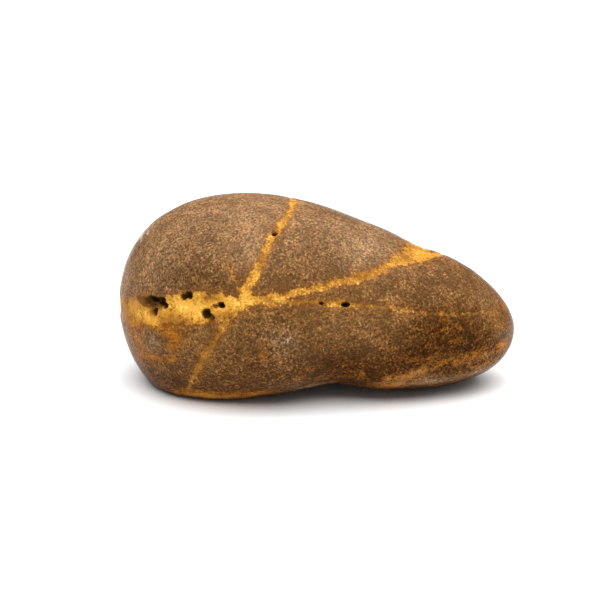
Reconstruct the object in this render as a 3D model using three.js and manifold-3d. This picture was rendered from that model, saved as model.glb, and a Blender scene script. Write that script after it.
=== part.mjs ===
// Waterworn brown cobble, broad and high at one end and tapering to a low blunt nose at the other.
// Millimetres, +Z up. The nose points along +X and the veined, pitted face looks along -Y.
// It rests on a broad foot under the thick end and a small foot under the nose, with an arch between.
import * as THREE from "three";
import { mergeVertices } from "three/addons/utils/BufferGeometryUtils.js";
import Module from "manifold-3d";

// Long axis of the stone: its half length, and its height and sideways place at thick end and nose
const halfLength = 50;
const axisHeight = [20.8, 14.2];
const axisSway = [0.6, -3.4];

// Fullness of the stone on each side of the axis, at nine equal stations from thick end to nose
const topFull = [38.6, 36.1, 33.6, 31.4, 28.8, 25.4, 23.1, 23.0, 23.2];
const baseFull = [41.0, 36.5, 28.3, 21.6, 17.8, 18.0, 19.0, 20.2, 21.5];
const frontFull = [33.0, 32.8, 31.2, 28.8, 26.2, 24.8, 23.8, 23.4, 22.6];
const backFull = [34.0, 33.0, 32.0, 31.0, 29.5, 28.0, 26.5, 25.0, 24.0];

// Underside: the arch between the feet, the crown across each foot, and the worn flats
const archPlace = 4.3;
const archReach = 9.5;
const archHeight = 3.6;
const footCrown = 1.5;
const footRound = 0.9;
const footWear = 0.45;

// Swellings and hollows of the worn surface
const lumps = [
  { at: [-10, -27.5, 12], reach: [10, 14, 9], height: 1.0 }, // belly above the broad foot
  { at: [5.5, -26.5, 8], reach: [7, 16, 12], height: -1.8 }, // trough running up from the arch
  { at: [36, -3.5, 28], reach: [6, 16, 8], height: 0.4 }, // swelling on top of the nose
  { at: [28, -4.5, 33], reach: [4, 14, 7], height: -0.35 }, // saddle where the long vein crosses the top
  { at: [18, -21.5, 7.5], reach: [9, 5, 2.2], height: 0.7 }, // edge above the undercut, by the arch
  { at: [31, -19, 7.3], reach: [9, 5, 2.2], height: 0.85 }, // the same edge, middle
  { at: [41, -14.5, 8.3], reach: [6, 5, 2.2], height: 0.7 }, // the same edge, towards the nose
  { at: [-44, -14.5, 23.5], reach: [7, 8, 3.2], height: -0.5 }, // soft vein worn back, outer end
  { at: [-33, -23, 26.5], reach: [7, 8, 3.4], height: -0.5 }, // the same vein, middle
  { at: [-23, -26, 28], reach: [6, 8, 3], height: -0.4 }, // the same vein, inner end
  { at: [-8, 9, 46], reach: [16, 10, 10], height: -0.7 }, // flattened crown
  { at: [-26, 20.5, 34], reach: [16, 14, 14], height: -1.3 }, // flattened shoulder at the back
  { at: [6, 26.5, 16], reach: [14, 10, 12], height: 1.2 }, // swelling at the back
  { at: [24, 22.5, 12], reach: [10, 10, 10], height: -1.0 }, // hollow beside it
  { at: [-44, 6.5, 12], reach: [9, 12, 8], height: 0.4 }, // low boss on the thick end
];

// Solution pits in the veined face: place across and up, then width, height and depth
const pits = [
  { across: -41.4, up: 26.5, size: [4.4, 2.3, 1.4] }, // long pit, shallow outer end
  { across: -39.2, up: 27.1, size: [4.6, 3.0, 2.2] }, // long pit, deep middle
  { across: -37.4, up: 26.4, size: [3.0, 2.6, 1.8] }, // long pit, inner end
  { across: -39.5, up: 24.2, size: [1.8, 1.8, 1.4] }, // round pit just below it
  { across: -31.2, up: 29.4, size: [3.0, 2.2, 1.7] },
  { across: -26.1, up: 25.6, size: [2.9, 2.6, 1.7] },
  { across: -22.9, up: 27.9, size: [2.9, 1.8, 1.3] },
  { across: -10.1, up: 43.2, size: [1.4, 1.2, 1.0] }, // on the steep vein
  { across: 0.9, up: 28.5, size: [1.4, 1.0, 0.9] }, // two on the thin lower vein
  { across: 6.8, up: 27.8, size: [2.0, 1.2, 1.0] },
];

// Cells of the surface grid along x, y and z
const cells = [38, 22, 20];

const splineOf = (values) =>
  new THREE.SplineCurve(values.map((value, i) => new THREE.Vector2(i, value)));
const [topSpline, baseSpline, frontSpline, backSpline] = [topFull, baseFull, frontFull, backFull].map(splineOf);
const swells = lumps.map(({ at, reach, height }) => ({
  middle: new THREE.Vector3(...at),
  reach: new THREE.Vector3(...reach),
  height,
}));

// Values of a pair of end values, and of a station spline, at t from -1 to 1 along the axis
const between = ([thick, nose], t) => thick + ((nose - thick) * (t + 1)) / 2;
const fullness = (spline, t) => spline.getPoint((t + 1) / 2).y;

// Point of the stone in a direction from its axis, and the way the surface faces there
function worn(direction) {
  const t = direction.x;
  const sway = between(axisSway, t);
  const deep = fullness(direction.y < 0 ? frontSpline : backSpline, t);
  const tall = fullness(direction.z < 0 ? baseSpline : topSpline, t);
  const point = new THREE.Vector3(
    halfLength * t,
    sway + direction.y * deep,
    between(axisHeight, t) + direction.z * tall,
  );
  const outward = direction.clone().divide(new THREE.Vector3(halfLength, deep, tall)).normalize();
  for (const { middle, reach, height } of swells) {
    const away = point.clone().sub(middle).divide(reach);
    point.addScaledVector(outward, height * Math.exp(-away.lengthSq()));
  }
  const arch = archHeight * Math.exp(-(((point.x - archPlace) / archReach) ** 2));
  const sole = arch + footCrown * ((point.y - sway) / deep) ** 2;
  point.z = sole + footRound * Math.log1p(Math.exp((point.z - sole) / footRound)) - footWear;
  return { point, outward };
}

// Direction from the axis to the place of the veined face at a given distance across and height
function faceDirection(across, up) {
  const t = across / halfLength;
  const rise = up - between(axisHeight, t);
  const high = rise / fullness(rise < 0 ? baseSpline : topSpline, t);
  return new THREE.Vector3(t, -Math.sqrt(1 - t * t - high * high), high);
}

// Whole stone: a cube grid blown up to a ball, each point moved to the worn surface
function stoneGeometry() {
  const box = new THREE.BoxGeometry(2, 2, 2, ...cells);
  box.deleteAttribute("normal");
  box.deleteAttribute("uv");
  const geometry = mergeVertices(box);
  const position = geometry.attributes.position;
  const even = (value) => Math.tan((value * Math.PI) / 4);
  for (let i = 0; i < position.count; i++) {
    const corner = new THREE.Vector3().fromBufferAttribute(position, i);
    const direction = new THREE.Vector3(...corner.toArray().map(even)).normalize();
    position.setXYZ(i, ...worn(direction).point);
  }
  return geometry;
}

// One pit: a ragged ball set into the face, its width level and its depth along the way the face looks
function pitGeometry({ across, up, size: [width, height, depth] }) {
  const ball = new THREE.IcosahedronGeometry(1, width > 1.5 ? 2 : 1);
  ball.deleteAttribute("normal");
  ball.deleteAttribute("uv");
  const geometry = mergeVertices(ball);
  const position = geometry.attributes.position;
  for (let i = 0; i < position.count; i++) {
    const corner = new THREE.Vector3().fromBufferAttribute(position, i);
    const ragged = 1 + 0.1 * Math.sin(3 * corner.x + across) * Math.cos(4 * corner.y + up);
    position.setXYZ(i, ...corner.multiplyScalar(ragged));
  }
  const { point, outward } = worn(faceDirection(across, up));
  const level = new THREE.Vector3(-outward.y, outward.x, 0).normalize();
  const rising = outward.clone().cross(level);
  const place = new THREE.Matrix4().makeBasis(
    level.multiplyScalar(width / 2),
    rising.multiplyScalar(height / 2),
    outward.multiplyScalar(depth),
  );
  return geometry.applyMatrix4(place.setPosition(point));
}

const wasm = await Module();
wasm.setup();

function solidOf(geometry) {
  return new wasm.Manifold(
    new wasm.Mesh({
      numProp: 3,
      vertProperties: geometry.attributes.position.array,
      triVerts: new Uint32Array(geometry.index.array),
    }),
  );
}

let stone = solidOf(stoneGeometry()).trimByPlane([0, 0, 1], 0);
for (const pit of pits) {
  stone = stone.subtract(solidOf(pitGeometry(pit)));
}

const cut = stone.getMesh();
const geometry = new THREE.BufferGeometry();
geometry.setAttribute("position", new THREE.BufferAttribute(cut.vertProperties, 3));
geometry.setIndex(new THREE.BufferAttribute(cut.triVerts, 1));
geometry.computeBoundingBox();
const middle = geometry.boundingBox.getCenter(new THREE.Vector3());
geometry.translate(-middle.x, -middle.y, 0);
geometry.computeVertexNormals();

const brownStone = new THREE.MeshStandardMaterial({ color: 0x6e4f34, roughness: 0.75, metalness: 0 });
const rock = new THREE.Mesh(geometry, brownStone);
rock.name = "rock";

const part = new THREE.Group();
part.name = "cobble";
part.add(rock);

export default part;
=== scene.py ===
import math

import bpy
import numpy as np
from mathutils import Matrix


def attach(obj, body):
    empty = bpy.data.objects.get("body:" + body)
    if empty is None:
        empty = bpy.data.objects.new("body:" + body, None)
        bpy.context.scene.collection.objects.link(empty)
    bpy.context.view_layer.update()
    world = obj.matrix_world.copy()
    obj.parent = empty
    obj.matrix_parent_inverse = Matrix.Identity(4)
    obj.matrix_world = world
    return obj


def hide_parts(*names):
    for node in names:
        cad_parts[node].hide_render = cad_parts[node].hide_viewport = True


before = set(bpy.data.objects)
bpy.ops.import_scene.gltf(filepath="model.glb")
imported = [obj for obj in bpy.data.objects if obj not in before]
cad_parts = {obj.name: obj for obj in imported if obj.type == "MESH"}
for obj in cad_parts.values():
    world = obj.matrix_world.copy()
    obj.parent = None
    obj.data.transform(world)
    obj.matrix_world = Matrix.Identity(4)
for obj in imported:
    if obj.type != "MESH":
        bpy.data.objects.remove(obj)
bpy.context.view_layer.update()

mmPerMetre = 1000.0

# the stone in mm, x from the thick end to the nose; pits, veins, patches and finish are added further down
stoneForm = dict(
    halfLength=50.0,
    axisHeight=(20.8, 14.2),                      # at the thick end, at the nose
    axisSway=(0.6, -3.4),
    topFull=(38.6, 36.1, 33.6, 31.4, 28.8, 25.4, 23.1, 23.0, 23.2),    # nine stations along x
    baseFull=(41.0, 36.5, 28.3, 21.6, 17.8, 18.0, 19.0, 20.2, 21.5),
    frontFull=(33.0, 32.8, 31.2, 28.8, 26.2, 24.8, 23.8, 23.4, 22.6),
    backFull=(34.0, 33.0, 32.0, 31.0, 29.5, 28.0, 26.5, 25.0, 24.0),
    archPlace=4.3, archReach=9.5, archHeight=3.6,
    footCrown=1.5, footRound=0.9, footWear=0.45,
    lumps=(                                       # middle, reach, height
        ((-10, -27.5, 12), (10, 14, 9), 1.0),     # belly
        ((5.5, -26.5, 8), (7, 16, 12), -1.8),     # trough above the arch
        ((36, -3.5, 28), (6, 16, 8), 0.4),        # top of the nose
        ((28, -4.5, 33), (4, 14, 7), -0.35),      # saddle on the long vein
        ((18, -21.5, 7.5), (9, 5, 2.2), 0.7),     # edge above the turned-under side of the nose
        ((31, -19, 7.3), (9, 5, 2.2), 0.85),
        ((41, -14.5, 8.3), (6, 5, 2.2), 0.7),
        ((-44, -14.5, 23.5), (7, 8, 3.2), -0.5),  # wide vein worn back
        ((-33, -23, 26.5), (7, 8, 3.4), -0.5),
        ((-23, -26, 28), (6, 8, 3), -0.4),
        ((-8, 9, 46), (16, 10, 10), -0.7),        # crown
        ((-26, 20.5, 34), (16, 14, 14), -1.3),    # back shoulder
        ((6, 26.5, 16), (14, 10, 12), 1.2),       # back swelling
        ((24, 22.5, 12), (10, 10, 10), -1.0),     # hollow beside it
        ((-44, 6.5, 12), (9, 12, 8), 0.4),        # thick end
    ),
    cells=(188, 110, 96),                         # grid along x, y, z
    finer=(-0.6, -0.75, 0.2), draw=1.8,           # where cells are smaller, and how much
    swell=((0.16, 7, 1), (0.07, 2.5, 2)),         # unevenness: height, size, seed
    veinRecess=0.3, veinRim=4,                    # veins lie this deep; steepness of their rim
    veinSwell=(0.12, 1.1, 5),
)


# value at t of equal stations: b + f/2 (c-a + f (2a-5b+4c-d + f (3(b-c)+d-a))), end stations repeated
def along(t, values):
    v = np.pad(np.array(values, float), 1, mode="edge")
    place = (t + 1) / 2 * (len(values) - 1)
    i = np.clip(place.astype(int), 0, len(values) - 2)
    f = place - i
    a, b, c, d = v[i], v[i + 1], v[i + 2], v[i + 3]
    return b + f / 2 * (c - a + f * (2 * a - 5 * b + 4 * c - d + f * (3 * (b - c) + d - a)))


# straight line from the thick end, t = -1, to the nose, t = 1
def between(pair, t):
    return pair[0] + (pair[1] - pair[0]) * (t + 1) / 2


# each vector divided by its length
def unit(v):
    return v / np.linalg.norm(v, axis=-1, keepdims=True)


# smooth noise, -1 to 1: random values on a lattice of that size, blended by 3f^2 - 2f^3 along each axis
def latticeNoise(p, size, seed, span=64, shift=1000.5):
    table = np.random.default_rng(seed).uniform(-1, 1, (span, span, span))
    q = np.asarray(p) / size + shift
    i = np.floor(q).astype(int)
    f = q - i
    f = f * f * (3 - 2 * f)
    total = 0
    for corner in np.ndindex(2, 2, 2):
        weight = np.prod(np.where(np.array(corner) == 1, f, 1 - f), axis=1)
        total = total + weight * table[tuple(((i + corner) % span).T)]
    return total


# six grids of a cube, welded by their whole-number corners: corner numbers, quads and places in the atlas
def cubeGrid(cells, margin=0.02):
    span = np.array(cells) + 1
    used = 1 - 2 * margin                         # each grid fills this much of its sixth of the atlas
    quads, places = [], []
    for patch, (axis, end) in enumerate((axis, end) for axis in range(3) for end in (0, 1)):
        u, v = (axis + 1) % 3, (axis + 2) % 3
        iu, iv = np.meshgrid(np.arange(span[u]), np.arange(span[v]), indexing="ij")
        corner = np.zeros(iu.shape + (3,), int)
        corner[..., u], corner[..., v], corner[..., axis] = iu, iv, end * cells[axis]
        key = corner[..., 0] + span[0] * (corner[..., 1] + span[1] * corner[..., 2])
        spot = np.stack([(patch % 3 + margin + used * iu / cells[u]) / 3,
                         (patch // 3 + margin + used * iv / cells[v]) / 2], -1)
        turn = slice(None) if end else slice(None, None, -1)
        for made, grid in ((quads, key[..., None]), (places, spot)):
            ring = np.stack([grid[:-1, :-1], grid[1:, :-1], grid[1:, 1:], grid[:-1, 1:]], 2)
            made.append(ring[:, :, turn].reshape(-1, 4, grid.shape[-1]))
    keys, faces = np.unique(np.concatenate(quads)[..., 0], return_inverse=True)
    corners = np.stack([keys % span[0], keys // span[0] % span[1], keys // (span[0] * span[1])], -1)
    return corners, faces.reshape(-1, 4), np.concatenate(places)


# unit directions of the corners, at even angles on each grid, then drawn towards one direction:
# tan(angle / 2) from it is divided by draw
def directions(corners, form, tiny=1e-12):
    s = unit(np.tan((2 * corners / np.array(form["cells"]) - 1) * math.pi / 4))
    pole = unit(np.array(form["finer"]))
    c, k = s @ pole, form["draw"] ** 2
    near = ((k + 1) * c + k - 1) / ((k - 1) * c + k + 1)
    side = unit(s - c[:, None] * pole + tiny)
    return near[:, None] * pole + np.sqrt(np.maximum(1 - near ** 2, 0))[:, None] * side


# point in a direction: axis point plus direction times fullness, plus each lump along the outward way as
# height exp(-(away / reach)^2), then eased on to the sole:
# sole + round log(1 + exp((z - sole) / round)) - wear
def wornSurface(s, form):
    t = s[:, 0]
    sway = between(form["axisSway"], t)
    deep = np.where(s[:, 1] < 0, along(t, form["frontFull"]), along(t, form["backFull"]))
    tall = np.where(s[:, 2] < 0, along(t, form["baseFull"]), along(t, form["topFull"]))
    height = between(form["axisHeight"], t) + s[:, 2] * tall
    p = np.stack([form["halfLength"] * t, sway + s[:, 1] * deep, height], -1)
    outward = unit(s / np.stack([np.full_like(t, form["halfLength"]), deep, tall], -1))
    for middle, reach, lift in form["lumps"]:
        away = (p - np.array(middle)) / np.array(reach)
        p = p + outward * (lift * np.exp(-(away ** 2).sum(1)))[:, None]
    sole = form["archHeight"] * np.exp(-((p[:, 0] - form["archPlace"]) / form["archReach"]) ** 2)
    sole = sole + form["footCrown"] * ((p[:, 1] - sway) / deep) ** 2
    clear = np.logaddexp(0, (p[:, 2] - sole) / form["footRound"])
    p[:, 2] = sole + form["footRound"] * clear - form["footWear"]
    return p, outward


# place and facing of the veined face at x, z: the direction there has y = -sqrt(1 - x^2 - z^2)
def facePoint(across, up, form):
    t = np.array([across / form["halfLength"]])
    rise = up - between(form["axisHeight"], t)
    high = rise / np.where(rise < 0, along(t, form["baseFull"]), along(t, form["topFull"]))
    s = np.stack([t, -np.sqrt(1 - t ** 2 - high ** 2), high], -1)
    place, outward = wornSurface(s, form)
    return place[0], outward[0]


# pits in the veined face: across, up, width, height, depth
stoneForm["pits"] = (
    # large cavity, and the round pit below it
    (-40.5, 27.2, 3.8, 1.9, 2.2), (-38.3, 27.1, 3.4, 2.4, 2.8), (-37.2, 26.4, 2.2, 1.8, 2.2),
    (-42.2, 26.2, 3.0, 1.8, 1.3), (-40.5, 25.9, 3.6, 2.0, 1.5), (-40.3, 24.2, 2.9, 2.6, 3.0),
    # three pairs
    (-32.5, 29.3, 2.2, 1.9, 2.0), (-31.2, 29.9, 2.5, 2.2, 2.6),
    (-26.8, 26.0, 2.6, 2.6, 2.6), (-25.6, 25.3, 2.2, 2.0, 1.5),
    (-23.4, 28.4, 2.2, 1.9, 2.4), (-24.6, 28.0, 2.2, 1.5, 1.3),
    # on the narrow veins
    (-10.3, 43.3, 1.7, 1.5, 2.2), (0.9, 28.5, 1.5, 1.1, 1.5), (6.8, 27.9, 2.3, 1.4, 2.0),
    (-30.1, 7.8, 0.9, 0.8, 0.9), (17.8, 25.6, 1.0, 0.7, 0.9), (32.7, 23.0, 0.9, 0.7, 0.9),
    # pinholes
    (23.4, 7.4, 1.0, 0.9, 0.9), (-14.9, 13.2, 0.8, 0.7, 0.5),
    (-35.9, 25.7, 0.8, 0.7, 0.7), (-33.4, 24.6, 0.8, 0.6, 0.7), (-30.4, 24.2, 0.9, 0.7, 0.8),
    (-21.0, 25.3, 0.8, 0.6, 0.6), (-34.2, 28.4, 0.7, 0.6, 0.6),
)
stoneForm.update(
    pitRagged=((0.22, 0.9, 3), (0.12, 0.45, 4)),  # ragged rims: share of the radius, size, seed
    pitWall=2.5, pitReach=5.0,                    # steepness of the walls; how far in a pit may act
    pitRim=4, pitDark=2.2, pitFade=1.5,           # soft rim of the dark; depth that is wholly dark
)


# depth of all pits and how dark each point is, 0 to 1, the dark partly painted shade in the hollows and
# partly dirt:
# depth (1 - r^wall), with r made ragged by noise; the dark starts at the rim and is (depth / dark depth)^fade
# at most
def pitField(p, form):
    ragged = sum(share * latticeNoise(p, size, seed) for share, size, seed in form["pitRagged"])
    depth, inside = np.zeros(len(p)), np.zeros(len(p))
    for across, up, width, height, deep in form["pits"]:
        place, outward = facePoint(across, up, form)
        level = unit(np.array([-outward[1], outward[0], 0]))
        rising = np.cross(outward, level)
        q = p - place
        r = np.sqrt((q @ level / width * 2) ** 2 + (q @ rising / height * 2) ** 2) + ragged
        here = np.where(np.abs(q @ outward) < form["pitReach"], np.clip(1 - r, 0, 1), 0)
        depth = np.maximum(depth, deep * (1 - (1 - here) ** form["pitWall"]))
        dark = min(deep / form["pitDark"], 1) ** form["pitFade"]
        inside = np.maximum(inside, np.clip(here * form["pitRim"], 0, 1) * dark)
    return depth, inside


# veins as sheets through the stone, drawn on the x-z plane (face) or the x-y plane (crest); path points are
# across, up or inwards, half width and strength of colour; back is the share of the width left at the back
face, crest = (0, 2), (0, 1)
stoneForm["veins"] = (
    dict(plane=face, back=0.25, path=(            # wide vein
        (-52, 19.0, 3.0, 0.4), (-48.8, 20.2, 3.0, 0.45), (-44.5, 22.3, 3.1, 0.8), (-40.8, 24.0, 3.2, 1),
        (-35.3, 25.3, 3.3, 1), (-31.9, 26.1, 3.6, 1), (-28.6, 26.6, 3.5, 1), (-24.5, 27.3, 3.0, 1),
        (-19, 28.2, 1.9, 1), (-16, 29.2, 1.4, 1))),
    dict(plane=face, back=0.9, path=(             # steep vein, up from the crossing
        (-3, 48.5, 0.3, 1), (-6, 47.1, 0.4, 1), (-7.3, 45.4, 0.55, 1), (-10.1, 42.8, 0.85, 0.95),
        (-12.2, 39.8, 0.75, 0.9), (-13.8, 36.6, 0.9, 0.9), (-16, 33.2, 1.1, 0.95), (-17.5, 29.6, 1.6, 1))),
    dict(plane=face, back=0.7, path=(             # and down from it
        (-17.5, 29.6, 1.7, 1), (-20.4, 25.8, 0.72, 0.95), (-24.9, 18.9, 0.66, 0.8), (-28.7, 12, 0.6, 0.66),
        (-30.8, 6.7, 0.5, 0.58), (-31.8, 3.6, 0.45, 0.5), (-33, -1, 0.4, 0.5))),
    dict(plane=face, back=0.6, path=(             # long vein to the crest
        (-17.5, 29.4, 1.5, 1), (-14.8, 29.1, 0.95, 0.85), (-12, 29.3, 1.0, 0.9), (-9.2, 29.6, 0.95, 0.9),
        (-6.3, 30.4, 0.75, 0.85), (-3, 30.9, 0.6, 0.85), (-0.6, 31.2, 0.6, 0.85), (2.4, 31.8, 0.7, 0.9),
        (5.2, 32.3, 0.75, 0.9), (8.1, 32.4, 0.85, 0.9), (11.1, 33.0, 1.0, 0.95), (14.1, 33.6, 0.85, 0.95),
        (17, 34.4, 0.85, 0.95), (20.2, 35.3, 0.8, 1), (24.5, 36.4, 0.6, 1))),
    dict(plane=crest, back=0.8, path=(            # over the crest and down the back
        (19.6, -13.2, 0.8, 1), (22.8, -8, 1.2, 1), (24.5, 0, 1.4, 1), (24.8, 8, 1.3, 1), (23, 18, 0.9, 0.9),
        (21, 40, 0.7, 0.9))),
    dict(plane=crest, back=0.8, path=(            # two branches that end on the crest
        (20.5, -12.8, 0.9, 1), (25, -8, 1.5, 1), (29.5, -2, 1.5, 1), (32.5, 5, 0.6, 0.85),
        (36, 14, -0.2, 0.4))),
    dict(plane=crest, back=0.8, path=(
        (22, -11, 0.9, 1), (25.5, -4, 1.9, 1), (27, 2, 1.7, 1), (27.5, 7, 0.5, 0.9), (28, 13, -0.3, 0.4))),
    dict(plane=face, back=0.0, path=(             # thin vein under the long one
        (-13, 28.8, 0.7, 0.9), (-10.6, 28.8, 0.75, 0.95), (-8.4, 28.8, 0.75, 0.95),
        (-6.3, 28.6, 0.6, 0.9), (-4.6, 28.5, 0.52, 0.85), (-1.7, 28.3, 0.52, 0.85),
        (0.9, 28.1, 0.56, 0.88), (6.9, 27.5, 0.54, 0.85), (11.5, 26.9, 0.42, 0.68), (17.8, 25.8, 0.3, 0.5),
        (25.5, 24.2, 0.22, 0.4), (32.5, 22.8, 0.2, 0.36), (39.8, 22.4, 0.18, 0.3), (45.8, 22.0, 0.18, 0.36))),
    dict(plane=face, back=0.0, path=(             # hair vein left of the steep one
        (-22.2, 38.2, 0.05, 0.4), (-20.4, 34.8, 0.22, 0.55), (-18.4, 31.0, 0.25, 0.65))),
)
stoneForm.update(
    backStart=-8.0, backRun=16.0,                 # veins change towards the back from this y, over this far
    backFade=1.5,                                 # taken off veins that don't reach the back
    crestLow=20.0,                                # crest veins stay above this height
    farOut=-99.0,                                 # a depth that is outside every vein
)


# signed depth into the nearest vein, half width minus distance to the path, thinner towards the back by a
# smooth step, and that vein's strength and half width
def veinField(p, form):
    inside, strength, breadth = np.full(len(p), form["farOut"]), np.zeros(len(p)), np.zeros(len(p))
    behind = np.clip((p[:, 1] - form["backStart"]) / form["backRun"], 0, 1)
    behind = behind * behind * (3 - 2 * behind)
    for vein in form["veins"]:
        q = p[:, vein["plane"]]
        path = np.array(vein["path"], float)
        low = form["crestLow"] if vein["plane"] == crest else form["farOut"]
        for a, b in zip(path[:-1], path[1:]):
            run = (b - a)[:2]
            f = np.clip((q - a[:2]) @ run / (run @ run), 0, 1)
            away = np.linalg.norm(q - a[:2] - f[:, None] * run, axis=1)
            half = a[2] + f * (b[2] - a[2])
            half = half * (1 - behind * (1 - vein["back"]))
            half = half - form["backFade"] * behind * (vein["back"] == 0)
            here = np.where(p[:, 2] > low, half - away, form["farOut"])
            strength = np.where(here > inside, a[3] + f * (b[3] - a[3]), strength)
            breadth = np.where(here > inside, half, breadth)
            inside = np.maximum(inside, here)
    return inside, strength, breadth
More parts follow.
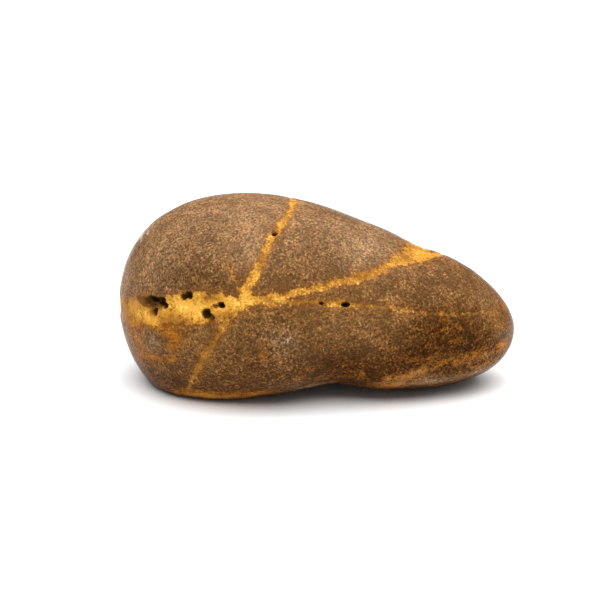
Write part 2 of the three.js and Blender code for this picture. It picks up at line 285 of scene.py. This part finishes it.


# soft patches of colour, painted shade and painted light among them: middle, reach, strength
stoneForm["patches"] = dict(
    rust=(
        ((-34.6, -22, 18.4), (2.6, 6, 3.6), 1.1),         # ring below the wide vein
        ((-39, -19.5, 20.6), (7, 6, 1.8), 1.1),
        ((-44.5, -13, 18.4), (2.8, 5, 2), 0.7),
        ((-43.3, -14.4, 15), (1.4, 5, 3), 1.2),
        ((-41.5, -15.5, 11.4), (2.2, 5, 1.1), 1.1),
        ((-38.5, -18.2, 11.7), (2.4, 5, 1.0), 1.1),
        ((-35.6, -20.5, 12.4), (1.6, 5, 1.2), 0.6),
        ((-39.9, -18, 16), (2.0, 5, 2.4), -0.9),          # its bare middle
        ((-43, -11, 9), (4, 8, 5), 0.35),                 # thick end
        ((-46, -10.5, 15), (2.4, 6, 5), 0.5),
        ((-26, -19.5, 2.4), (9, 6, 1.5), 2.6),            # foot
        ((-14, -22.5, 4), (6, 6, 1.2), 1.2),
        ((-13, -28, 16.6), (1.4, 5, 2.2), 0.8),           # belly
        ((18, -18.5, 5.5), (4, 6, 1.8), 1.7),             # streaks along the low edge of the nose
        ((20.4, -20.4, 8.1), (3, 6, 1.0), 1.2),
        ((25, -20.3, 9.3), (4.5, 6, 1.2), 0.95),
        ((27.6, -20.7, 13.1), (7, 6, 1.0), 0.5),
        ((33, -18.5, 11.2), (5, 6, 1.0), 0.75),
        ((40, -15, 12.3), (5, 6, 1.0), 0.6),
        ((43, -12, 8.8), (4, 6, 1.0), 0.5),
        ((46, -10.5, 12.6), (2, 5, 2), 1.3),              # tip of the nose
        ((46.3, -8, 21.5), (1.2, 5, 0.9), 0.5),
        ((45, -9, 18), (6, 8, 6), 0.2),
        ((30, 12, 20), (14, 9, 6), 0.5),                  # back
        ((-30, 24, 16), (12, 9, 6), 0.55),
        ((4, 28, 9), (16, 9, 3), 0.5),
    ),
    greyAndSheen=(
        ((-8.5, -28, 18), (5, 8, 4.5), 0.65),             # belly
        ((-4, -26, 6), (7, 8, 2.5), 0.5),
        ((-1, -19, 5), (5, 5, 1.2), 1.0),
        ((-38, -14, 34), (11, 11, 9), 0.65),              # thick end
        # painted reflection: a pale rim along the very end of the thick end
        ((-50, 2, 28), (3, 10, 10), 1.1),
        ((-43, 3, 40), (4, 7, 5), 0.5),
        ((-39.9, -18, 16), (2.2, 6, 2.6), 0.5),           # middle of the rust ring
        ((-43.3, -14.4, 15.5), (1.6, 5, 3), 0.6),
        ((19.5, -19.5, 6.7), (5, 6, 2), 0.6),             # low edge of the nose
        ((25, -20, 9.3), (5, 6, 1.4), 0.5),
        ((28.5, -17.5, 6), (6, 6, 2.2), 1.1),
        ((29.6, -21.4, 12.7), (1.6, 6, 0.5), 0.8),
        ((36.5, -18, 9.9), (3.5, 8, 0.9), 0.7),
        ((41, -16, 11.4), (3, 8, 0.9), 0.6),
        ((41, -13, 7), (6, 8, 2), 0.8),
        ((42.5, -9.5, 24.5), (5, 7, 4), 0.3),
        ((47.1, -10.9, 14.6), (1.6, 5, 1.6), 1.1),        # tip of the nose
        ((13, -12, 37.5), (9, 12, 5), 0.65),              # slope above the long vein
        ((-17, -20, 40), (5, 8, 3), 0.4),
        # painted sheen: the top paler and greyer, as under the lamp above
        ((-12, 0, 48), (48, 40, 12), 0.5),                # crown
    ),
    scuff=(
        ((-41.8, -3, 39.4), (0.9, 3, 1.0), 0.8),          # rim of the thick end
        ((-43.7, -2.5, 37.4), (0.9, 3, 1.4), 0.8),
        ((-8.2, -27.5, 19.2), (4.0, 5, 3.4), 0.6),        # belly
        ((-12.6, -27.5, 13.2), (2.0, 5, 0.8), 0.42),
        ((-7.7, -25.5, 28.3), (1.2, 4, 0.7), 0.7),        # where the thin vein leaves the long one
    ),
    pale=(
        ((-31.8, -24, 26.4), (4.6, 9, 2.2), 1.5),         # wide vein
        ((-25.5, -25, 27.4), (3, 9, 1.6), 0.5),
        ((-28.8, -26, 24.2), (1.6, 6, 1.0), 0.7),
        ((-42.4, -17, 22.0), (3.6, 8, 1.4), 1.2),
        ((-18.5, -27, 28.6), (3.2, 9, 2.6), 1.9),         # crossing
        ((-8, -25.6, 29.5), (2.2, 6, 1.0), 0.9),
        ((-15, -24, 34), (1.5, 6, 3), 0.6),               # steep vein
        ((-11.3, -17, 41.3), (1.8, 7, 1.5), 0.5),
        ((-7.5, -6, 45.8), (3, 9, 1.6), 0.15),
        ((24, -6, 35), (5, 6, 3), -0.05),                 # crest
        ((19, -20, 7.6), (4, 6, 1.4), 0.8),               # golden streaks of the nose
        ((26, -20.5, 10.4), (5, 6, 1.3), 1.0),
        ((34, -18.5, 12.6), (5, 6, 1.0), 0.8),
    ),
    deep=(
        ((-48.0, -9, 21.4), (4.2, 8, 4), 0.9),            # wide vein
        ((-43.6, -14, 25.6), (3.2, 7, 1.4), 0.7),
        ((-44, -14, 19.3), (4, 7, 1.2), 0.8),
        ((-36, -22, 24.2), (3, 8, 1.4), 0.5),
        ((-35, -23, 22.7), (8, 8, 1.2), 0.9),
        ((-26.4, -25.4, 29.2), (2.6, 7, 0.9), 0.9),
        ((-22.8, -27, 25.2), (2.2, 6, 1.2), 0.7),
        ((-13.4, -21, 37.4), (1.6, 7, 1.8), 0.7),         # steep vein
        ((-26, -25, 14), (6, 9, 10), 0.9),
        ((12, -18, 33.2), (6, 8, 2), 0.4),                # long vein
        ((1, -25, 28.2), (10, 8, 0.9), 0.7),              # thin vein
    ),
    # painted shade: darker all round the foot, in the trough, under the nose and on slopes turned from the
    # lamp; negative strengths take painted shade off, lighter on the under-facets and the nose
    shade=(
        ((0, 0, 0), (90, 90, 12.5), 0.92),                # all round the foot
        ((30, -20, 12), (18, 14, 9), 0.9),                # nose
        ((30, -17, 22.5), (12, 12, 6), 0.46),
        ((26, -14, 30), (7, 8, 4), 0.1),
        ((42, -9, 25), (5, 7, 4), -0.15),
        ((42, -14, 15), (6, 8, 4), 0.25),
        ((46, -12, 14), (8, 12, 8), -0.2),
        ((48.5, -6, 17), (4, 10, 8), -0.3),
        ((41, -13.5, 7), (7, 8, 2.2), -0.55),
        ((28, -17.5, 5.5), (8, 8, 2.8), -0.8),
        ((24, -20, 8.5), (7, 6, 2.5), -0.4),
        ((6, -27, 12), (8, 12, 7), 0.4),                  # trough
        ((11.5, -22, 8.5), (1.6, 5, 1.3), 0.7),
        ((-1, -19, 5), (5, 5, 1.2), -0.5),
        ((-9, -27, 10), (7, 9, 6), -0.15),                # belly
        ((-10, -28, 16.5), (10, 9, 7), 0.45),
        ((-22, -26, 14), (9, 9, 7), 0.15),
        ((-24, -24, 7), (8, 9, 4), -0.14),
        ((-40, -18, 14), (8, 9, 7), -0.05),               # thick end
        ((-34, -18, 32), (14, 12, 12), 0.33),
        ((-27, -22, 34), (9, 10, 4), 0.25),
        ((1, -19, 37), (8, 10, 5), 0.31),                 # slope above the long vein
    ),
    smear=(
        ((46.4, -10.3, 15), (2.0, 4, 1.1), 1.0),          # tip of the nose
        ((44.6, -12, 14.2), (1.6, 4, 0.8), 0.5),
        ((32.2, -19.2, 12.7), (3.4, 6, 0.5), 0.8),        # among the streaks
    ),
    umber=(
        ((-42.8, -16, 25.7), (2.2, 5, 1.5), 1.1),         # round the pits
        ((-40.2, -18, 25.4), (2.8, 5, 1.5), 1.0),
        ((-39.0, -18, 28.0), (3.4, 5, 0.8), 0.9),
        ((-31.6, -22, 30.2), (2.0, 5, 0.7), 0.5),
        ((-24.6, -25, 29.2), (2.4, 5, 0.8), 0.55),
        ((-26.4, -25, 24.3), (2.0, 5, 0.8), 0.45),
        ((22, -10.2, 34.5), (0.8, 1.6, 0.8), 0.9),        # crest
        ((24.5, -2.5, 35.4), (1.5, 1.2, 0.8), 0.6),
        ((27, -1.5, 34.3), (1.5, 1.2, 0.8), 0.6),
    ),
)


# sum over the patches of strength exp(-(away / reach)^2)
def patchField(p, patches):
    total = np.zeros(len(p))
    for middle, reach, strength in patches:
        total = total + strength * np.exp(-(((p - np.array(middle)) / np.array(reach)) ** 2).sum(1))
    return total


# worn surface moved along its outward way by unevenness minus pit depth, with the veins set in by a soft
# step 1 / (1 + exp(-rim depth)); the flat it rests on stays at z = 0, and the fields become attributes
def buildStone(form):
    corners, faces, places = cubeGrid(form["cells"])
    p, outward = wornSurface(directions(corners, form), form)
    depth, inside = pitField(p, form)
    vein, strength, breadth = veinField(p, form)
    soft = 1 / (1 + np.exp(-form["veinRim"] * vein))
    lift = sum(height * latticeNoise(p, size, seed) for height, size, seed in form["swell"])
    height, size, seed = form["veinSwell"]
    lift = lift + soft * (height * latticeNoise(p, size, seed) - form["veinRecess"])
    q = p + outward * (lift - depth)[:, None]
    q[:, 2] = np.where(p[:, 2] <= 0, 0, np.maximum(q[:, 2], 0))
    mesh = bpy.data.meshes.new("rockSurface")
    mesh.from_pydata((q / mmPerMetre).tolist(), [], faces.tolist())
    mesh.polygons.foreach_set("use_smooth", np.ones(len(faces), bool))
    mesh.uv_layers.new(name="OFBake").data.foreach_set("uv", places.reshape(-1))
    values = dict(vein=vein, strength=strength, breadth=breadth, pit=inside)
    values.update({name: patchField(p, patches) for name, patches in form["patches"].items()})
    for name, value in values.items():
        mesh.attributes.new(name, "FLOAT", "POINT").data.foreach_set("value", value.astype(np.float32))
    mesh.update()
    print("stone", len(q), "points", 2 * len(faces), "triangles")
    print("stone box in mm", q.min(0).round(2), q.max(0).round(2))
    stone = bpy.data.objects.new("rockSurface", mesh)
    bpy.context.scene.collection.objects.link(stone)
    return stone


# one output of a material's node tree; arithmetic on it adds Math nodes
class Wire:
    tree = None

    def __init__(self, socket):
        self.socket = socket

    @classmethod
    def node(cls, kind, settings, inputs, output=0):
        made = cls.tree.nodes.new(kind)
        for name, value in settings.items():
            setattr(made, name, value)
        for name, value in inputs.items():
            if isinstance(value, Wire):
                cls.tree.links.new(value.socket, made.inputs[name])
            else:
                made.inputs[name].default_value = value
        return cls(made.outputs[output])

    @staticmethod
    def math(operation, first, second):
        return Wire.node("ShaderNodeMath", dict(operation=operation), {0: first, 1: second})

    def __add__(self, other):
        return Wire.math("ADD", self, other)

    def __sub__(self, other):
        return Wire.math("SUBTRACT", self, other)

    def __rsub__(self, other):
        return Wire.math("SUBTRACT", other, self)

    def __mul__(self, other):
        return Wire.math("MULTIPLY", self, other)

    __radd__ = __add__
    __rmul__ = __mul__

    # 0 below low, most above high, straight between
    def ramp(self, low, high, most=1.0, shape="LINEAR"):
        ends = {"From Min": low, "From Max": high, "To Min": 0.0, "To Max": most}
        return Wire.node("ShaderNodeMapRange", dict(interpolation_type=shape), {"Value": self, **ends})

    # the same, but 3f^2 - 2f^3 between
    def rise(self, low, high, most=1.0):
        return self.ramp(low, high, most, "SMOOTHSTEP")


# screen values 0 to 255 to linear: ((v + 0.055) / 1.055)^2.4
def colour(red, green, blue):
    return tuple(((v / 255 + 0.055) / 1.055) ** 2.4 for v in (red, green, blue)) + (1.0,)


# first towards second by amount
def blend(amount, first, second, how="MIX"):
    settings = dict(data_type="RGBA", blend_type=how)
    return Wire.node("ShaderNodeMix", settings, {0: amount, 6: first, 7: second}, 2)


# noise about 0, features of that size in mm: scale is 1 / size
def noise(place, size, detail, roughness):
    made = Wire.node("ShaderNodeTexNoise", dict(noise_dimensions="3D"),
                     {"Vector": place, "Scale": 1 / size, "Detail": detail, "Roughness": roughness})
    return made - 0.5


# first and second vector added, or first times a number
def vectorMath(operation, first, second):
    slot = "Scale" if operation == "SCALE" else 1
    return Wire.node("ShaderNodeVectorMath", dict(operation=operation), {0: first, slot: second})


# a field stored on the mesh
def attribute(name):
    return Wire.node("ShaderNodeAttribute", dict(attribute_name=name), {}, 2)


# finish of the stone
stoneForm["colours"] = dict(                      # screen values
    dark=(64, 37, 12), mid=(106, 73, 40), light=(149, 115, 76), fleck=(200, 168, 124), black=(41, 24, 9),
    # the tint multiplied over the body under the shade patches is painted shade
    greyDark=(103, 76, 50), greyed=(182, 149, 117), shadeTint=(160, 138, 96), redder=(255, 247, 234),
    rustDark=(96, 59, 17), rust=(157, 91, 16), rustBright=(192, 116, 24), gold=(160, 112, 34),
    veinDeep=(159, 107, 42), vein=(182, 127, 44), veinPale=(228, 170, 72), veinGlint=(255, 226, 128),
    # pit is partly painted shade in the hollows, partly dark dirt
    veinSpot=(96, 57, 15), umber=(85, 50, 16), pit=(30, 16, 6), smear=(58, 42, 28), scuff=(213, 200, 179),
)
stoneForm["coats"] = dict(                        # where a coat starts, where it is full, its cover there
    mid=(-0.1, 0.6), light=(0.45, 1.15), greyTone=(0.0, 1.0), greyAndSheen=(0.05, 1.0, 0.75),
    fleck=(0.11, 0.3), black=(0.14, 0.32), redder=(0.0, 1.0), shadeTint=(0.0, 1.0),
    rustTone=(0.15, 0.8), rustBright=(1.0, 2.5, 0.45), rustOchre=(1.8, 3.2, 0.8), gold=(0.0, 1.0, 0.45),
    rustGrey=(0.0, 1.2, 0.45), rustFleck=(0.1, 0.32, 0.4), rust=(0.05, 1.4, 0.95), smear=(0.1, 0.9, 0.7),
    halo=(-1.8, 0.2, 0.2), ochre=(-0.3, 1.3), veinPale=(-0.1, 1.0), veinGlint=(0.18, 0.4, 0.8),
    veinSpot=(0.1, 0.8, 0.8), umber=(0.2, 0.9, 0.85), veinEdge=(-0.2, 0.2), veinStrength=(0.0, 0.9),
    veinBreadth=(0.0, 3.0), scuff=(0.45, 0.9, 0.65), pit=(0.15, 0.8, 0.88),
)
stoneForm.update(
    # noises: size in mm, detail, roughness
    wide=(24, 2, 0.5), patchy=(6, 3, 0.5), mottle=(2.4, 3, 0.6),
    grain=(0.62, 3, 0.7), speck=(0.5, 1, 0.5), streak=(0.8, 3, 0.6),
    speckShift=(31, 7, 13),                       # keeps specks apart from the other noises
    bedTilt=(0, -0.28, 0), bedStretch=(5, 2, 1),  # streaks lie along the bedding
    gloss=0.03, bump=0.00007,                     # specular level; height of the bump in metres
    roughness=0.28, roughVein=0.2, roughGrain=0.2,
)


# colour laid in coats, each by a ramp of summed noises and fields: brown body with painted shade and a
# painted sheen on the top, rust stain, ochre veins, scuffs and pits partly darkened by painted shade;
# roughness is a base plus shares of vein and grain; a fine bump follows grain and mottle
def stoneMaterial(form):
    material = bpy.data.materials.new("veined brown stone")
    material.use_nodes = True
    Wire.tree = material.node_tree
    shader = material.node_tree.nodes["Principled BSDF"]
    coat = form["coats"]
    tint = {name: colour(*value) for name, value in form["colours"].items()}
    vein, strength, breadth, pit = (attribute(name) for name in ("vein", "strength", "breadth", "pit"))
    rust, greyAndSheen, scuff, pale, deep, shade, smear, umber = (attribute(name) for name in form["patches"])

    place = vectorMath("SCALE", Wire.node("ShaderNodeTexCoord", {}, {}, "Object"), mmPerMetre)
    drawn = Wire.node("ShaderNodeMapping", dict(vector_type="TEXTURE"),
                      {"Vector": place, "Rotation": form["bedTilt"], "Scale": form["bedStretch"]})
    names = ("wide", "patchy", "mottle", "grain")
    wide, patchy, mottle, grain = (noise(place, *form[name]) for name in names)
    speck = noise(vectorMath("ADD", place, form["speckShift"]), *form["speck"])
    streak = noise(drawn, *form["streak"])

    # body: dark to mid to light by the summed noises, greyer in patches, darkened by painted shade, pale and
    # dark flecks
    contrast = greyAndSheen * 0.4 + shade * 0.5 + patchy * 1.2 + 0.5
    tone = (grain * 2.6 + speck * 1.3 + mottle * 0.9 + patchy * 0.7) * contrast
    tone = tone + streak * 0.6 + wide * 0.4 + 0.5
    body = blend(tone.ramp(*coat["mid"]), tint["dark"], tint["mid"])
    body = blend(tone.ramp(*coat["light"]), body, tint["light"])
    greyed = blend(tone.ramp(*coat["greyTone"]), tint["greyDark"], tint["greyed"])
    # greyer where the grey patches are; the crown one among them is painted sheen, the end one painted
    # reflection
    body = blend((greyAndSheen * (patchy + 0.9) + grain * 0.3).ramp(*coat["greyAndSheen"]), body, greyed)
    flecks = (speck + mottle * 0.45 + patchy * 0.3 + greyAndSheen * 0.04).rise(*coat["fleck"])
    body = blend(flecks * (shade * 0.4 + greyAndSheen * 0.25 + 0.36), body, tint["fleck"])
    blacks = (mottle * 0.4 - speck - patchy * 0.3).rise(*coat["black"])
    body = blend(blacks * (0.46 - shade * 0.25), body, tint["black"])
    redder = blend(1.0, body, tint["redder"], "MULTIPLY")
    body = blend((mottle * 1.4 + patchy + 0.5).ramp(*coat["redder"]), body, redder)
    # painted shade: the body multiplied by the shade tint where the shade patches are
    shadeTint = blend(1.0, body, tint["shadeTint"], "MULTIPLY")
    body = blend((shade + patchy * 0.3).rise(*coat["shadeTint"]), body, shadeTint)

    # rust where the stain beats the noise, drawn out along the bedding, with dark smears over it
    stain = rust * 1.25 + streak * 1.2 + mottle * 1.5 + patchy * 0.7 + grain * 1.2 + speck * 0.6
    rusty = blend((tone + streak * 0.8).ramp(*coat["rustTone"]), tint["rustDark"], tint["rust"])
    rusty = blend((stain + mottle + grain).ramp(*coat["rustBright"]), rusty, tint["rustBright"])
    rusty = blend((stain + tone * 0.5).ramp(*coat["rustOchre"]), rusty, tint["vein"])
    rusty = blend((pale + mottle).ramp(*coat["gold"]), rusty, tint["gold"])
    rusty = blend(greyAndSheen.ramp(*coat["rustGrey"]), rusty, greyed)
    rusty = blend((speck + grain * 0.5).rise(*coat["rustFleck"]), rusty, tint["veinPale"])
    body = blend(stain.ramp(*coat["rust"]), body, rusty)
    body = blend((smear * (grain * 1.5 + mottle * 1.5 + 1.0)).rise(*coat["smear"]), body, tint["smear"])

    # veins: edge ragged, more so where broad and strong; deep ochre border, pale middle, glints and spots
    rough = strength * 0.9 + 0.1
    broad = breadth.ramp(*coat["veinBreadth"])
    ragged = (mottle * 3.0 + patchy * 2.4) * (broad + 0.25)
    deep = deep + (1 - broad) * 0.25              # narrow veins are deeper in colour
    edge = vein + (ragged + grain * 1.5 + streak * 0.8) * rough
    body = blend((vein + patchy * 3.0).rise(*coat["halo"]) * strength, body, tint["rust"])
    border = edge + patchy * 2.5 + mottle * 2.5 + pale - deep
    ochre = blend(border.rise(*coat["ochre"]), tint["veinDeep"], tint["vein"])
    middle = grain * 2.0 + speck * 1.2 + mottle * 1.4 + patchy * 0.8 + pale * 0.6 - deep * 0.5
    ochre = blend(middle.ramp(*coat["veinPale"]), ochre, tint["veinPale"])
    glints = speck + grain * 0.5 + mottle * 0.7 + pale * 0.06 - deep * 0.1
    ochre = blend(glints.rise(*coat["veinGlint"]), ochre, tint["veinGlint"])
    spots = deep * 0.3 - broad * 0.3 + 0.2 - grain * 1.8 - speck * 0.9 - mottle * 1.6     # more if narrow
    ochre = blend(spots.ramp(*coat["veinSpot"]), ochre, tint["veinSpot"])
    stained = umber * (grain * 3.0 + mottle * 3.0 + 1.0)
    ochre = blend(stained.rise(*coat["umber"]), ochre, tint["umber"])
    inVein = edge.rise(*coat["veinEdge"]) * (strength + grain * 0.6).rise(*coat["veinStrength"])
    body = blend(inVein, body, ochre)

    # pale scuffs, then the dark of the pits, partly painted shade in the hollows and partly dirt
    body = blend((scuff + mottle * 1.5 + grain).rise(*coat["scuff"]), body, tint["scuff"])
    body = blend((pit * (grain * 1.2 + mottle * 1.2 + 1.0)).rise(*coat["pit"]), body, tint["pit"])

    bump = Wire.node("ShaderNodeBump", {},
                     {"Strength": 1.0, "Distance": form["bump"], "Height": grain + mottle * 1.5})
    roughness = form["roughness"] + inVein * form["roughVein"] + grain * form["roughGrain"]
    for name, wire in (("Base Color", body), ("Normal", bump), ("Roughness", roughness)):
        material.node_tree.links.new(wire.socket, shader.inputs[name])
    shader.inputs["Specular IOR Level"].default_value = form["gloss"]
    return material


stone = buildStone(stoneForm)
stone.data.materials.append(stoneMaterial(stoneForm))
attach(stone, "root")
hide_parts("rock")
print("stone painted")

# floor, light and camera in metres
stageForm = dict(
    floorHalf=6.0, floorShade=0.9,
    lampAt=(0.15, -0.08, 1.0), lampSide=1.8, lampPower=33.5,
    skyLight=0.33,
    lookAt=(-0.0027, -0.00137, 0.0195), distance=0.4308, elevation=18.0,
    lens=100.0, sensor=36.0, nearest=0.01, farthest=50.0,
)


# square floor, square lamp tipped towards the stone, camera at lookAt plus distance times (0, -cos, sin) of
# the elevation
def buildStage(form):
    half = form["floorHalf"]
    mesh = bpy.data.meshes.new("floor")
    corners = [(-half, -half, 0), (half, -half, 0), (half, half, 0), (-half, half, 0)]
    mesh.from_pydata(corners, [], [(0, 1, 2, 3)])
    floor = bpy.data.objects.new("floor", mesh)
    material = bpy.data.materials.new("pale floor")
    material.use_nodes = True
    shader = material.node_tree.nodes["Principled BSDF"]
    shader.inputs["Base Color"].default_value = (form["floorShade"],) * 3 + (1.0,)
    shader.inputs["Roughness"].default_value = 1.0
    shader.inputs["Specular IOR Level"].default_value = 0.0
    mesh.materials.append(material)

    lamp = bpy.data.lights.new("soft box", "AREA")
    lamp.size, lamp.energy = form["lampSide"], form["lampPower"]
    box = bpy.data.objects.new("soft box", lamp)
    box.location = form["lampAt"]
    box.rotation_euler = (-math.atan2(form["lampAt"][1], form["lampAt"][2]), 0, 0)

    camera = bpy.data.objects.new("camera", bpy.data.cameras.new("camera"))
    camera.data.lens, camera.data.sensor_width = form["lens"], form["sensor"]
    camera.data.clip_start, camera.data.clip_end = form["nearest"], form["farthest"]
    rise = math.radians(form["elevation"])
    x, y, z = form["lookAt"]
    camera.location = (x, y - form["distance"] * math.cos(rise), z + form["distance"] * math.sin(rise))
    camera.rotation_euler = (math.pi / 2 - rise, 0, 0)

    scene = bpy.context.scene
    for made in (floor, box, camera):
        scene.collection.objects.link(made)
    scene.camera = camera
    scene.world = bpy.data.worlds.new("studio")
    scene.world.use_nodes = True
    sky = scene.world.node_tree.nodes["Background"]
    sky.inputs["Color"].default_value = (1, 1, 1, 1)
    sky.inputs["Strength"].default_value = form["skyLight"]
    scene.view_settings.view_transform = "Standard"
    print("stage and camera set")


buildStage(stageForm)
